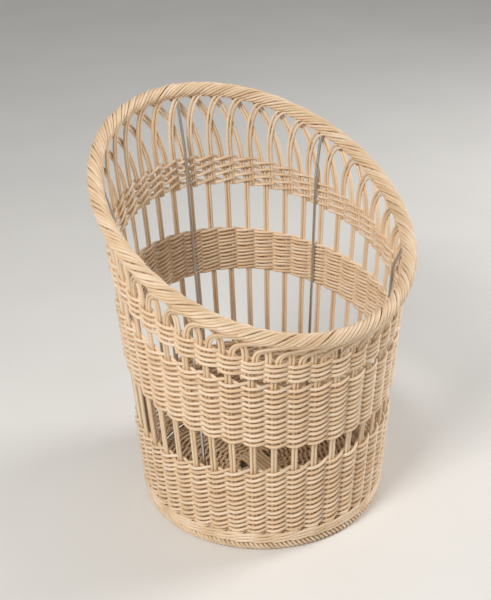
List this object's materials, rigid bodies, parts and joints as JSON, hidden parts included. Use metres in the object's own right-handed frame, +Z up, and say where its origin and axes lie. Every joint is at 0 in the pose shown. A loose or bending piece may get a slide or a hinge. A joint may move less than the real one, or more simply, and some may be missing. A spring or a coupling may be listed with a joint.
{
  "type": "woven bread basket",
  "caption": "Tall round basket woven from pale round strands, with a low front, high back, open arches and a rope rim.",
  "frame": {"origin": "centre of the round foot, on the surface that the basket stands on", "axes": "+Z up, +Y towards the high back of the rim, -Y towards the low front"},
  "size_m": [0.3828, 0.383, 0.4894],
  "materials": {
    "rattan": "satin",
    "rattan_tan": "satin",
    "steel_wire": "satin"
  },
  "bodies": {
    "root": {"base_sticks": "rattan_tan", "base_weave": "rattan_tan", "foot_ring": "steel_wire", "uprights": "steel_wire", "rim_ring": "steel_wire", "stakes": "rattan", "foot_border": "rattan", "foot_waling": "rattan", "lower_band": "rattan", "upper_band": "rattan", "collar_band": "rattan", "arch_stakes": "rattan", "rim_rope": "rattan"}
  },
  "joints": []
}
